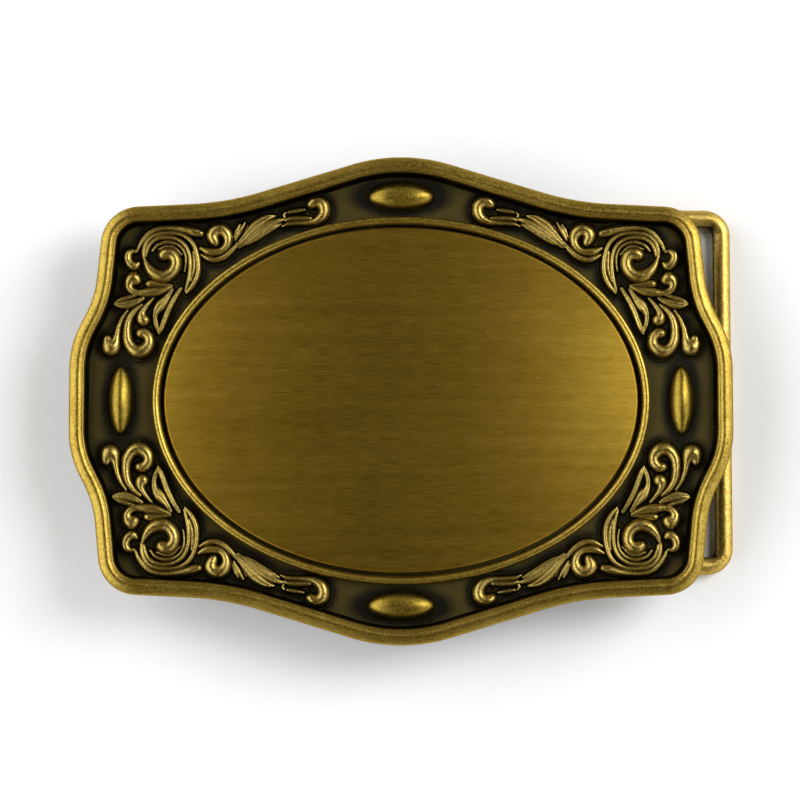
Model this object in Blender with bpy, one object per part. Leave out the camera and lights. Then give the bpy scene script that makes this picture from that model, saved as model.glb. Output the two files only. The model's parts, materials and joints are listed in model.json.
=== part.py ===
"""Western plate buckle: a wavy backing plate with a raised rim, an oval centre plate in a
ring, four bosses and twelve scroll ornaments, with a hinged wire bail and a hook pin behind.

The origin is the middle of the oval centre plate's face. +Z comes out of the buckle's front,
+Y is up and the bail is at +X, as the buckle is worn. Lengths at the top are in millimetres.
"""

import math

import bmesh
import bpy

MM = 0.001

# Driving dimensions, in millimetres.
OUTLINE_CORNERS = (  # one quarter of the outline, crest to side: x, y and fillet radius
    (0.0, 34.25, 23.0),
    (23.7, 27.0, 38.0),
    (40.4, 26.2, 5.3),
    (41.6, 14.0, 14.0),
    (45.0, 7.4, 14.0),
)
ARC_STEP_DEG = 9.0
PLATE_THICKNESS = 1.6
PLATE_INSET = 0.25  # the plate's edge lies this far inside the rim's
SOLDER_GAP = 0.05
CENTRE_THICKNESS = 1.35
RELIEF_Z = -CENTRE_THICKNESS  # where everything on the plate's front starts
FRONT_Z = RELIEF_Z - SOLDER_GAP
BACK_Z = FRONT_Z - PLATE_THICKNESS

RIM_SECTION = (  # distance in from the outline, height over RELIEF_Z
    (0.0, 0.0),
    (0.0, 1.1),
    (0.45, 1.85),
    (1.1, 2.15),
    (1.7, 1.95),
    (2.0, 1.55),
    (2.6, 0.0),
)

BEZEL_HALF = (33.2, 24.475)  # half axes of the ring's middle line
BEZEL_SECTION = (
    (-0.55, 0.0),
    (-0.55, 1.05),
    (-0.2, 1.6),
    (0.25, 1.6),
    (0.55, 1.1),
    (0.55, 0.0),
)
CENTRE_HALF = (32.1, 23.45)
CENTRE_CHAMFER = 0.3
OVAL_POINTS = 64

BOSS_HEIGHT = 1.6
BOSS_CUT = 0.02  # share of its height at which a boss is cut flat
TOP_BOSS_Y, TOP_BOSS_HALF = 27.9, (4.4, 1.85)
SIDE_BOSS_X, SIDE_BOSS_HALF = 38.1, (1.58, 4.55)

WEB_THICKNESS = 0.45  # the thin ground that carries an ornament's strokes
STROKE_SECTION = (  # across and up, as shares of the stroke's width
    (-0.5, -0.2),
    (-0.36, 0.42),
    (0.0, 0.62),
    (0.36, 0.42),
    (0.5, -0.2),
)
STROKE_STAGGER = 0.004  # each stroke lies this much lower, so that no two faces are level

WIRE_RADIUS = 1.2
HINGE_X, HINGE_DEPTH = 26.0, 4.5  # the hinge's axis, under the plate's back
HINGE_Z = BACK_Z - HINGE_DEPTH
BAR_X = 44.5
ARM_Y = 24.1
WIRE_END_Y = 15.6
BAIL_SLIP = 1.8  # the bail lies this far along the hinge, within its play
END_BEND_RADIUS = 2.0
CORNER_BEND_RADIUS = 2.4
LUG_RADIUS = 2.5
LUG_Y, LUG_THICKNESS = 18.5, 3.0
LUG_FOOT_HALF, LUG_FOOT_HEIGHT = 3.8, 0.9
BORE_CLEARANCE = 0.1
BORE_SIDES = 20

HOOK_X = -30.0
HOOK_LEAN_DEG = 24.0
HOOK_FOOT_RADIUS, HOOK_PIN_RADIUS, HOOK_HEAD_RADIUS = 3.6, 1.5, 2.1
HOOK_FOOT_HEIGHT, HOOK_STRAIGHT, HOOK_BEND_RADIUS = 0.9, 1.5, 3.5
HOOK_FOOT_BEVEL, HOOK_FILLET = 0.35, 0.2
HOOK_HEAD_LATITUDES_DEG = (-42, -18, 6, 30, 54, 76)

# Strokes of the upper right corner's ornaments: points of x, y and width.
VOLUTE = {
    "web": (
        (26.9, 22.6), (28.3, 23.4), (30.3, 23.75), (32.2, 23.75), (34.0, 23.2), (35.3, 22.1),
        (35.8, 21.1), (35.4, 19.6), (35.3, 18.3), (34.5, 16.9), (32.9, 16.1), (31.0, 16.2),
        (29.9, 15.6), (29.2, 14.9), (28.2, 15.7), (27.5, 17.2), (27.4, 19.2), (27.8, 21.2),
    ),
    "strokes": (
        (  # spiral in the middle, out of its eye and into the second strand
            (32.5, 19.5, 0.9), (31.6, 20.0, 1.1), (30.8, 19.4, 1.2), (30.8, 18.2, 1.25),
            (31.7, 17.2, 1.35), (33.0, 16.95, 1.3), (34.2, 17.7, 1.1), (34.9, 19.0, 0.7),
            (34.9, 20.6, 0.55), (34.1, 21.9, 0.5), (32.9, 22.6, 0.5), (31.4, 22.8, 0.5),
            (29.9, 22.4, 0.5), (28.7, 21.3, 0.55), (28.0, 19.6, 0.6), (28.0, 17.6, 0.6),
            (28.6, 16.0, 0.6), (29.3, 15.1, 0.35),
        ),
        (  # outermost strand
            (27.3, 22.6, 0.8), (28.6, 23.0, 0.6), (30.3, 23.45, 0.5), (32.1, 23.45, 0.5),
            (33.9, 22.95, 0.5), (35.1, 21.9, 0.5), (35.6, 21.1, 0.35),
        ),
        (  # inner strand
            (34.2, 20.6, 0.35), (33.3, 21.7, 0.4), (31.9, 22.15, 0.4), (30.3, 21.7, 0.4),
            (29.2, 20.5, 0.45), (28.8, 18.9, 0.45), (28.85, 17.3, 0.4), (29.3, 16.1, 0.3),
        ),
    ),
}
LEAF_SPRAY = {
    "web": (
        (9.9, 25.0), (10.0, 26.9), (11.0, 27.8), (12.7, 27.5), (15.3, 26.3), (18.6, 25.3),
        (21.4, 24.7), (23.6, 23.9), (25.2, 24.1), (26.7, 23.0), (26.6, 21.2), (27.3, 20.3),
        (26.6, 19.3), (24.2, 19.0), (22.2, 20.1), (19.5, 21.6), (16.9, 23.1), (12.6, 23.85),
        (10.8, 24.1),
    ),
    "strokes": (
        (  # comma curl next to the volute
            (25.2, 21.5, 0.8), (25.9, 22.5, 1.3), (25.0, 23.35, 1.35), (23.8, 23.1, 1.15),
            (23.4, 22.0, 0.8), (23.9, 20.9, 0.75), (24.9, 20.3, 0.75), (26.2, 20.2, 0.7),
            (27.1, 20.4, 0.4),
        ),
        (  # stem that feeds the leaf bundle
            (26.9, 19.8, 0.4), (25.4, 19.35, 0.6), (23.9, 19.6, 0.6), (22.7, 20.6, 0.6),
            (21.7, 21.7, 0.55),
        ),
        (  # upper leaf
            (22.7, 20.8, 0.5), (21.2, 22.5, 0.9), (19.8, 23.9, 1.0), (18.7, 24.6, 0.8),
            (17.2, 25.1, 0.35),
        ),
        (  # lower leaf
            (21.2, 21.3, 0.5), (19.4, 22.4, 0.9), (17.9, 23.6, 0.8), (16.2, 24.35, 0.35),
        ),
        ((22.5, 21.9, 0.35), (21.8, 23.3, 0.4), (21.3, 24.4, 0.3)),
        (  # C hook, from its bulb down and along its foot
            (12.4, 26.9, 0.8), (11.4, 27.2, 1.0), (10.55, 26.4, 1.15), (10.6, 25.2, 1.05),
            (11.6, 24.45, 0.8), (13.3, 24.2, 0.5), (16.2, 24.1, 0.4),
        ),
        ((13.0, 26.1, 0.4), (14.4, 25.9, 0.4), (15.8, 25.7, 0.4)),
    ),
}
CURL_SPRAY = {
    "web": (
        (36.0, 20.6), (37.1, 20.5), (37.6, 19.2), (37.0, 17.9), (37.5, 16.6), (37.2, 14.7),
        (38.9, 13.35), (38.4, 12.5), (39.1, 10.4), (40.4, 8.9), (40.4, 6.9), (39.2, 6.2),
        (37.6, 7.0), (36.0, 5.8), (34.3, 6.1), (33.7, 7.7), (34.2, 9.4), (33.1, 9.3),
        (31.9, 10.6), (30.8, 12.9), (29.8, 15.0), (31.2, 15.7), (32.9, 15.7), (35.0, 16.6),
        (35.8, 18.2), (35.75, 19.4),
    ),
    "strokes": (
        (  # ring curl beside the volute
            (36.1, 20.3, 0.5), (36.8, 20.2, 0.65), (37.25, 19.5, 0.7), (36.9, 18.6, 0.7),
            (36.1, 18.25, 0.6),
        ),
        (  # comma curl under it, running back below the volute
            (36.1, 16.4, 1.0), (36.9, 16.4, 0.9), (37.05, 15.4, 0.75), (36.1, 14.8, 0.65),
            (34.6, 14.6, 0.8), (32.9, 14.9, 0.65), (31.2, 15.3, 0.4),
        ),
        ((30.1, 15.0, 0.5), (31.0, 13.2, 0.65), (31.9, 11.2, 0.6), (32.8, 9.3, 0.4)),
        (  # outer lobe of the pointed leaf
            (31.4, 14.9, 0.5), (32.6, 13.3, 0.7), (33.5, 11.9, 0.55), (33.3, 10.4, 0.45),
        ),
        (  # large C scroll
            (35.4, 13.0, 0.4), (36.6, 11.7, 0.6), (37.25, 10.2, 0.75), (37.2, 8.5, 0.95),
            (36.5, 7.0, 1.2), (35.2, 6.5, 1.4), (34.3, 7.4, 1.2), (34.7, 8.8, 1.0),
            (35.7, 9.2, 0.6),
        ),
        (  # club beside it
            (37.1, 12.4, 0.35), (38.1, 11.0, 0.45), (38.6, 9.5, 0.65), (39.1, 8.3, 1.3),
            (39.5, 7.3, 1.5), (39.75, 6.7, 1.0),
        ),
        ((35.3, 13.7, 0.6), (36.6, 13.2, 0.75), (37.8, 12.95, 0.7), (38.9, 13.1, 0.35)),
        ((33.9, 13.6, 0.35), (34.8, 12.4, 0.6), (35.1, 11.2, 1.1), (35.0, 10.7, 0.9)),
    ),
}
ORNAMENTS = {"volute": VOLUTE, "leaf_spray": LEAF_SPRAY, "curl_spray": CURL_SPRAY}
QUARTERS = {
    "upper_right": (1, 1),
    "upper_left": (-1, 1),
    "lower_left": (-1, -1),
    "lower_right": (1, -1),
}


def clear_scene():
    for old in list(bpy.data.objects):
        bpy.data.objects.remove(old, do_unlink=True)


def new_collection(name):
    collection = bpy.data.collections.new(name)
    bpy.context.scene.collection.children.link(collection)
    return collection


def metal(name, colour, roughness, metallic=1.0):
    material = bpy.data.materials.new(name)
    material.use_nodes = True
    shader = material.node_tree.nodes["Principled BSDF"]
    shader.inputs["Base Color"].default_value = (*colour, 1.0)
    shader.inputs["Roughness"].default_value = roughness
    shader.inputs["Metallic"].default_value = metallic
    return material


def add_object(name, data, collection, material=None):
    piece = bpy.data.objects.new(name, data)
    collection.objects.link(piece)
    if material is not None:
        data.materials.append(material)
    return piece


def poly_curve(name, points, closed, plane=True):
    """A curve of one straight-run spline through (x, y) or (x, y, z) points in millimetres."""
    curve = bpy.data.curves.new(name, "CURVE")
    curve.dimensions = "2D" if plane else "3D"
    add_spline(curve, points, closed)
    return curve


def add_spline(curve, points, closed):
    spline = curve.splines.new("POLY")
    spline.points.add(len(points) - 1)
    for knot, point in zip(spline.points, points):
        x, y, z = (*point, 0.0)[:3]
        knot.co = (x * MM, y * MM, z * MM, 1.0)
    spline.use_cyclic_u = closed


def as_mesh(piece, collection):
    """The same object as a mesh with its caps welded and its faces turned out."""
    graph = bpy.context.evaluated_depsgraph_get()
    mesh = bpy.data.meshes.new_from_object(piece.evaluated_get(graph))
    work = bmesh.new()
    work.from_mesh(mesh)
    bmesh.ops.remove_doubles(work, verts=work.verts, dist=1e-6)
    bmesh.ops.recalc_face_normals(work, faces=work.faces)
    work.to_mesh(mesh)
    work.free()
    name = piece.name
    placed = piece.matrix_world.copy()
    bpy.data.objects.remove(piece, do_unlink=True)
    mesh_piece = add_object(name, mesh, collection)
    mesh_piece.matrix_world = placed
    return mesh_piece


def shade_round(piece, angle_deg=35.0):
    piece.data.shade_smooth()
    piece.data.set_sharp_from_angle(angle=math.radians(angle_deg))


def ellipse(half, count=OVAL_POINTS):
    turns = (2 * math.pi * i / count for i in range(count))
    return [(half[0] * math.cos(t), half[1] * math.sin(t)) for t in turns]


def fillet(before, corner, after, radius):
    """Points of the arc that rounds one corner between two straight sides."""
    ax, ay = before[0] - corner[0], before[1] - corner[1]
    bx, by = after[0] - corner[0], after[1] - corner[1]
    a_len, b_len = math.hypot(ax, ay), math.hypot(bx, by)
    ax, ay, bx, by = ax / a_len, ay / a_len, bx / b_len, by / b_len
    half = math.acos(ax * bx + ay * by) / 2
    to_centre = radius / math.sin(half)
    mx, my = ax + bx, ay + by
    m_len = math.hypot(mx, my)
    cx = corner[0] + mx / m_len * to_centre
    cy = corner[1] + my / m_len * to_centre
    tangent = radius / math.tan(half)
    start = math.atan2(corner[1] + ay * tangent - cy, corner[0] + ax * tangent - cx)
    end = math.atan2(corner[1] + by * tangent - cy, corner[0] + bx * tangent - cx)
    sweep = (end - start + math.pi) % (2 * math.pi) - math.pi
    steps = max(2, math.ceil(abs(math.degrees(sweep)) / ARC_STEP_DEG))
    turns = (start + sweep * i / steps for i in range(steps + 1))
    return [(cx + radius * math.cos(t), cy + radius * math.sin(t)) for t in turns]


def outline():
    """The plate's whole outline, clockwise from the top, from its quarter's corners."""
    right = list(OUTLINE_CORNERS) + [(x, -y, r) for x, y, r in reversed(OUTLINE_CORNERS)]
    left = [(-x, y, r) for x, y, r in reversed(right[1:-1])]
    corners = right + left
    points = []
    for i, (x, y, radius) in enumerate(corners):
        before, after = corners[i - 1], corners[(i + 1) % len(corners)]
        points += fillet(before[:2], (x, y), after[:2], radius)
    return points


def section_curve(name, section, guides):
    """A closed cross-section, in a guide object, for the curves that sweep it."""
    curve = poly_curve(name, section, True)
    guide = add_object(name, curve, guides)
    guide.hide_render = True
    guide.display_type = "WIRE"
    return guide


def swept_ring(name, path, section, material, parts, guides):
    """A ring on the plate's front whose cross-section follows a closed flat path."""
    curve = poly_curve(name, path, True)
    curve.bevel_mode = "OBJECT"
    curve.bevel_object = section_curve(name + "_section", section, guides)
    ring = add_object(name, curve, parts)
    ring.location.z = RELIEF_Z * MM
    bpy.context.view_layer.update()
    ring = as_mesh(ring, parts)
    ring.data.materials.append(material)
    shade_round(ring)
    return ring


def flat_plate(name, path, low, high, material, collection):
    """A flat plate of any outline between two heights."""
    curve = poly_curve(name, path, True)
    curve.fill_mode = "BOTH"
    curve.extrude = (high - low) / 2 * MM
    plate = add_object(name, curve, collection, material)
    plate.location.z = (low + high) / 2 * MM
    return plate


def base_plate(path, material, parts):
    inner_path = []
    for i, (x, y) in enumerate(path):
        before, after = path[i - 1], path[(i + 1) % len(path)]
        dx, dy = after[0] - before[0], after[1] - before[1]
        length = math.hypot(dx, dy)
        inner_path.append((x + dy / length * PLATE_INSET, y - dx / length * PLATE_INSET))
    return flat_plate("base_plate", inner_path, BACK_Z, FRONT_Z, material, parts)


def centre_plate(material, parts):
    """The oval plate: a flat round slab drawn out to its oval, with its top edge chamfered."""
    depth = CENTRE_THICKNESS * MM
    work = bmesh.new()
    bmesh.ops.create_cone(
        work, cap_ends=True, segments=OVAL_POINTS, radius1=MM, radius2=MM, depth=depth
    )
    bmesh.ops.scale(work, vec=(*CENTRE_HALF, 1.0), verts=work.verts)
    top_edges = [edge for edge in work.edges if all(vert.co.z > 0 for vert in edge.verts)]
    bmesh.ops.bevel(
        work, geom=top_edges, offset=CENTRE_CHAMFER * MM, segments=1, affect="EDGES"
    )
    mesh = bpy.data.meshes.new("centre_plate")
    work.to_mesh(mesh)
    work.free()
    plate = add_object("centre_plate", mesh, parts, material)
    plate.location.z = RELIEF_Z * MM + depth / 2
    return plate


def boss(name, place, half, material, parts):
    """Half an ellipsoid standing flat on the ground of the plate."""
    work = bmesh.new()
    bmesh.ops.create_uvsphere(work, u_segments=20, v_segments=10, radius=1.0)
    everything = work.verts[:] + work.edges[:] + work.faces[:]
    cut = bmesh.ops.bisect_plane(
        work, geom=everything, plane_co=(0, 0, BOSS_CUT), plane_no=(0, 0, 1), clear_inner=True
    )
    rim_edges = [part for part in cut["geom_cut"] if isinstance(part, bmesh.types.BMEdge)]
    bmesh.ops.edgeloop_fill(work, edges=rim_edges)
    for vert in work.verts:
        vert.co.x *= half[0] * MM
        vert.co.y *= half[1] * MM
        vert.co.z *= BOSS_HEIGHT * MM
    bmesh.ops.recalc_face_normals(work, faces=work.faces)
    mesh = bpy.data.meshes.new(name)
    work.to_mesh(mesh)
    work.free()
    dome = add_object(name, mesh, parts, material)
    dome.location = (place[0] * MM, place[1] * MM, RELIEF_Z * MM)
    shade_round(dome)
    return dome


def stroke(name, points, section, height, guides):
    """One tapering stroke: the section swept along its points and scaled by their width."""
    curve = poly_curve(name, [point[:2] for point in points], False)
    curve.bevel_mode = "OBJECT"
    curve.bevel_object = section
    curve.use_fill_caps = True
    for knot, point in zip(curve.splines[0].points, points):
        knot.radius = point[2]
    piece = add_object(name, curve, guides)
    piece.location.z = height * MM
    bpy.context.view_layer.update()
    piece = as_mesh(piece, guides)
    piece.hide_render = True
    piece.display_type = "WIRE"
    return piece


def ornament(name, shape, quarter, section, material, parts, guides):
    """A group of strokes joined to the thin web under them."""
    sx, sy = quarter
    web = [(sx * x, sy * y) for x, y in shape["web"]]
    web_top = RELIEF_Z + WEB_THICKNESS
    piece = flat_plate(name, web, RELIEF_Z, web_top, None, parts)
    bpy.context.view_layer.update()
    piece = as_mesh(piece, parts)
    for i, points in enumerate(shape["strokes"]):
        path = [(sx * x, sy * y, width) for x, y, width in points]
        cutter = stroke(f"{name}_stroke_{i}", path, section, web_top - i * STROKE_STAGGER, guides)
        union = piece.modifiers.new(f"union_{i}", "BOOLEAN")
        union.operation = "UNION"
        union.object = cutter
    bpy.context.view_layer.update()
    piece = as_mesh(piece, parts)
    piece.data.materials.append(material)
    shade_round(piece)
    return piece


def bend(centre, start_deg, end_deg, radius, steps=4):
    turns = [
        math.radians(start_deg + (end_deg - start_deg) * i / steps) for i in range(steps + 1)
    ]
    return [
        (centre[0] + radius * math.cos(t), centre[1] + radius * math.sin(t)) for t in turns
    ]


def bail(material, parts):
    """The wire loop, with its ends turned in towards each other on the hinge's axis."""
    droop = math.atan((LUG_RADIUS - WIRE_RADIUS) / (BAR_X - HINGE_X))
    reach = (BAR_X - HINGE_X) / math.cos(droop)
    end_centre = (END_BEND_RADIUS, ARM_Y - END_BEND_RADIUS)
    corner_centre = (reach - CORNER_BEND_RADIUS, ARM_Y - CORNER_BEND_RADIUS)
    upper = [(0.0, WIRE_END_Y)]
    upper += bend(end_centre, 180, 90, END_BEND_RADIUS)
    upper += bend(corner_centre, 90, 0, CORNER_BEND_RADIUS)
    lower = [(x, -y) for x, y in reversed(upper)]
    straight = [(reach, ARM_Y * share) for share in (0.45, 0.0, -0.45)]
    curve = poly_curve("bail", upper + straight + lower, False, plane=False)
    curve.bevel_depth = WIRE_RADIUS * MM
    curve.bevel_resolution = 3
    curve.use_fill_caps = True
    loop = add_object("bail", curve, parts, material)
    loop.location = (HINGE_X * MM, BAIL_SLIP * MM, HINGE_Z * MM)
    loop.rotation_euler.y = droop
    return loop


def bail_lug(name, y, material, parts):
    """An ear on the plate's back, round at its tip, with the bore that holds a wire end."""
    top = HINGE_DEPTH - SOLDER_GAP
    tip = bend((0.0, 0.0), 180, 360, LUG_RADIUS, steps=14)
    foot = [
        (LUG_FOOT_HALF, top - LUG_FOOT_HEIGHT),
        (LUG_FOOT_HALF, top),
        (-LUG_FOOT_HALF, top),
        (-LUG_FOOT_HALF, top - LUG_FOOT_HEIGHT),
    ]
    neck_left = [(-LUG_RADIUS, top / 2)]
    neck_right = [(LUG_RADIUS, top / 2)]
    curve = poly_curve(name, tip + neck_right + foot + neck_left, True)
    bore_radius = (WIRE_RADIUS + BORE_CLEARANCE) / math.cos(math.pi / BORE_SIDES)
    add_spline(curve, ellipse((bore_radius, bore_radius), BORE_SIDES), True)
    curve.fill_mode = "BOTH"
    curve.extrude = LUG_THICKNESS / 2 * MM
    lug = add_object(name, curve, parts, material)
    lug.location = (HINGE_X * MM, y * MM, HINGE_Z * MM)
    lug.rotation_euler.x = math.pi / 2
    return lug


def hook_stud(material, parts):
    """A pin that stands on a round foot, then leans towards the bail and ends in a bulb."""
    head_depth = HINGE_DEPTH + LUG_RADIUS - HOOK_HEAD_RADIUS
    lean = math.radians(HOOK_LEAN_DEG)
    path = [  # distance towards the bail, depth under the plate, radius
        (0.0, SOLDER_GAP, HOOK_FOOT_RADIUS),
        (0.0, HOOK_FOOT_HEIGHT - HOOK_FOOT_BEVEL, HOOK_FOOT_RADIUS),
        (0.0, HOOK_FOOT_HEIGHT, HOOK_FOOT_RADIUS - HOOK_FOOT_BEVEL),
        (0.0, HOOK_FOOT_HEIGHT + HOOK_FILLET, HOOK_PIN_RADIUS + HOOK_FOOT_BEVEL),
    ]
    for share in (0.0, 0.33, 0.67, 1.0):
        x = HOOK_BEND_RADIUS * (1 - math.cos(share * lean))
        depth = HOOK_STRAIGHT + HOOK_BEND_RADIUS * math.sin(share * lean)
        path.append((x, depth, HOOK_PIN_RADIUS))
    bend_x, bend_depth, _ = path[-1]
    head_x = bend_x + (head_depth - bend_depth) * math.tan(lean)
    for latitude_deg in HOOK_HEAD_LATITUDES_DEG:
        along = HOOK_HEAD_RADIUS * math.sin(math.radians(latitude_deg))
        radius = HOOK_HEAD_RADIUS * math.cos(math.radians(latitude_deg))
        x = head_x + along * math.sin(lean)
        path.append((x, head_depth + along * math.cos(lean), radius))
    points = [(x, 0.0, -depth) for x, depth, _ in path]
    curve = poly_curve("hook_stud", points, False, plane=False)
    curve.bevel_depth = MM
    curve.bevel_resolution = 4
    curve.use_fill_caps = True
    for knot, (_, _, radius) in zip(curve.splines[0].points, path):
        knot.radius = radius
    stud = add_object("hook_stud", curve, parts, material)
    stud.location = (HOOK_X * MM, 0.0, BACK_Z * MM)
    return stud


def build():
    clear_scene()
    parts = new_collection("belt_buckle")
    guides = new_collection("guides")
    ground = metal("ground_patina", (0.045, 0.036, 0.012), 0.5)
    rim_brass = metal("rim_brass", (0.46, 0.31, 0.08), 0.36)
    bezel_brass = metal("bezel_brass", (0.42, 0.28, 0.07), 0.34)
    brushed_brass = metal("brushed_brass", (0.4, 0.27, 0.06), 0.38)
    relief_brass = metal("relief_brass", (0.36, 0.25, 0.07), 0.36)
    boss_brass = metal("boss_brass", (0.4, 0.28, 0.07), 0.34)
    wire_brass = metal("wire_brass", (0.46, 0.31, 0.1), 0.34)
    fitting_brass = metal("fitting_brass", (0.34, 0.24, 0.08), 0.42)

    path = outline()
    base_plate(path, ground, parts)
    swept_ring("rim_moulding", path, RIM_SECTION, rim_brass, parts, guides)
    swept_ring("oval_bezel", ellipse(BEZEL_HALF), BEZEL_SECTION, bezel_brass, parts, guides)
    centre_plate(brushed_brass, parts)
    for side, sign in (("top", 1), ("bottom", -1)):
        boss("boss_" + side, (0.0, sign * TOP_BOSS_Y), TOP_BOSS_HALF, boss_brass, parts)
    for side, sign in (("right", 1), ("left", -1)):
        boss("boss_" + side, (sign * SIDE_BOSS_X, 0.0), SIDE_BOSS_HALF, boss_brass, parts)
    section = section_curve("stroke_section", STROKE_SECTION, guides)
    for kind, shape in ORNAMENTS.items():
        for corner, quarter in QUARTERS.items():
            name = f"{kind}_{corner}"
            ornament(name, shape, quarter, section, relief_brass, parts, guides)
    bail(wire_brass, parts)
    bail_lug("bail_lug_upper", LUG_Y, fitting_brass, parts)
    bail_lug("bail_lug_lower", -LUG_Y, fitting_brass, parts)
    hook_stud(fitting_brass, parts)


build()
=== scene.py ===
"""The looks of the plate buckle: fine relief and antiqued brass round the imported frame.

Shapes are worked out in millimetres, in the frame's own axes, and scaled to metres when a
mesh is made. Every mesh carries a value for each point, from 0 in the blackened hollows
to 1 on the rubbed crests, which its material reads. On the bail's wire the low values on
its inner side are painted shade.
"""

import json
import math

import bmesh
import bpy
import numpy as np
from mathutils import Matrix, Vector


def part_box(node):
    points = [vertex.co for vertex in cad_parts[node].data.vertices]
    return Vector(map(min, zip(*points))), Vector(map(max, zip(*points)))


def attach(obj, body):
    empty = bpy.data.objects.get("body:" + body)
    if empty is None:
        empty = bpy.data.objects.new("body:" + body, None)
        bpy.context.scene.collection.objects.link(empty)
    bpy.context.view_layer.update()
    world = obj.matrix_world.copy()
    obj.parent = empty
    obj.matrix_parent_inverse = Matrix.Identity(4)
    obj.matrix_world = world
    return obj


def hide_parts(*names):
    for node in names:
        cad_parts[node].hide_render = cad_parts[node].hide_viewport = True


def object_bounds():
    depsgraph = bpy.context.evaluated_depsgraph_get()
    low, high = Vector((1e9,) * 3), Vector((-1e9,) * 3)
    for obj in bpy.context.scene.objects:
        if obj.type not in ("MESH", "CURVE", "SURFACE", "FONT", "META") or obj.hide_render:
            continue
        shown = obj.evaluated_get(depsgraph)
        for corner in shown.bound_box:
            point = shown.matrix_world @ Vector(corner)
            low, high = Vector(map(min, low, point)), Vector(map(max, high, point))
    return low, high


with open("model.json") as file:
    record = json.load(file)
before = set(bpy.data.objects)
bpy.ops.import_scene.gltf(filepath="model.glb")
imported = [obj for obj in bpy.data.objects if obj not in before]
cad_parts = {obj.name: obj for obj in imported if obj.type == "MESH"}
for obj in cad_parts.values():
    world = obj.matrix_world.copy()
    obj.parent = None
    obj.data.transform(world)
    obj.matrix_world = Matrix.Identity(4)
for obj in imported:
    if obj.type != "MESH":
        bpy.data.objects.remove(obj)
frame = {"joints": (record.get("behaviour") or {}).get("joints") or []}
cad_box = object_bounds()

MM = 0.001
PLATE, BAIL = "plate", "bail"  # the two CAD bodies


def box_mm(node):
    """Lowest and highest corner of a CAD node, in millimetres."""
    low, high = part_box(node)
    return np.array(low) / MM, np.array(high) / MM


# ---------------------------------------------------------------- heights and outline, mm

GROUND_Z = float(box_mm("base_plate")[1][2])
SEAT_Z = GROUND_Z + 0.004  # the undersides of the pieces on the plate's front
OUTLINE_CORNERS = (  # one quarter of the outline, crest to side: x, y and fillet radius
    (0.0, 34.25, 23.0),
    (23.7, 27.0, 38.0),
    (40.4, 26.2, 5.3),
    (41.6, 14.0, 14.0),
    (45.0, 7.4, 14.0),
)
OUTLINE_STEP = 0.4  # spacing of the outline's points
PLATE_INSET = 0.25

RIM_SECTION = (  # distance in from the outline, height over the ground
    (0.16, 0.0),
    (0.02, 0.35),
    (0.0, 1.05),
    (0.08, 1.45),
    (0.25, 1.7),
    (0.6, 1.93),
    (0.95, 2.09),
    (1.28, 2.13),
    (1.54, 2.04),
    (1.72, 1.89),
    (1.81, 1.85),
    (1.9, 1.92),
    (1.98, 1.95),
    (2.07, 1.85),
    (2.15, 1.55),
    (2.23, 1.1),
    (2.36, 0.3),
    (2.55, 0.04),
    (2.62, 0.0),
)
RIM_GROOVE = 1.79  # where the groove beside the inner bead is darkest, from the outline
BEZEL_SECTION = (  # distance in from its outer edge, height over the ground
    (0.0, 0.0),
    (0.0, 0.8),
    (0.05, 1.25),
    (0.18, 1.5),
    (0.42, 1.62),
    (0.68, 1.56),
    (0.94, 1.3),
    (1.12, 0.9),
    (1.22, 0.4),
    (1.22, 0.0),
)
CENTRE_EDGE = (  # distance in from its edge, share of its thickness
    (0.0, 0.0),
    (0.0, 0.74),
    (0.03, 0.88),
    (0.17, 0.985),
    (0.26, 1.0),
)
CENTRE_WEAR = (0.0, 0.35, 0.8, 1.0, 1.0)  # at each point of that edge
OVAL_POINTS = 420
SECTION_STEP = 0.09  # spacing of points round a section or along a stroke


def fillet(before, corner, after, radius):
    """The arc that rounds one corner: its centre, start angle and sweep."""
    corner = np.array(corner)
    towards = [np.array(p) - corner for p in (before, after)]
    a, b = [v / np.linalg.norm(v) for v in towards]
    half = math.acos(float(a @ b)) / 2
    middle = (a + b) / np.linalg.norm(a + b)
    centre = corner + middle * radius / math.sin(half)
    tangent = radius / math.tan(half)
    start = corner + a * tangent - centre
    end = corner + b * tangent - centre
    start_angle = math.atan2(start[1], start[0])
    sweep = (math.atan2(end[1], end[0]) - start_angle + math.pi) % (2 * math.pi) - math.pi
    return centre, start_angle, sweep


def outline():
    """Evenly spaced points of the plate's outline, clockwise from the top."""
    right = list(OUTLINE_CORNERS) + [(x, -y, r) for x, y, r in reversed(OUTLINE_CORNERS)]
    corners = right + [(-x, y, r) for x, y, r in reversed(right[1:-1])]
    rough = []
    for i, (x, y, radius) in enumerate(corners):
        before, after = corners[i - 1][:2], corners[(i + 1) % len(corners)][:2]
        centre, start, sweep = fillet(before, (x, y), after, radius)
        turns = start + sweep * np.linspace(0, 1, 40)
        rough.append(centre + radius * np.stack([np.cos(turns), np.sin(turns)], 1))
    rough = np.concatenate(rough)
    closed = np.concatenate([rough, rough[:1]])
    along = np.concatenate([[0], np.cumsum(np.linalg.norm(np.diff(closed, axis=0), axis=1))])
    count = int(along[-1] / OUTLINE_STEP)
    even = np.arange(count) * along[-1] / count
    return np.stack([np.interp(even, along, closed[:, k]) for k in (0, 1)], 1)


def inward_normals(path):
    """Unit vectors pointing in from a clockwise closed path."""
    ahead = np.roll(path, -2, axis=0) - np.roll(path, 2, axis=0)
    ahead /= np.linalg.norm(ahead, axis=1)[:, None]
    return np.stack([ahead[:, 1], -ahead[:, 0]], 1)


def ellipse(half, count=OVAL_POINTS):
    """Points of an ellipse, clockwise from the top."""
    turns = math.pi / 2 - np.arange(count) * 2 * math.pi / count
    return np.stack([half[0] * np.cos(turns), half[1] * np.sin(turns)], 1)


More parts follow.
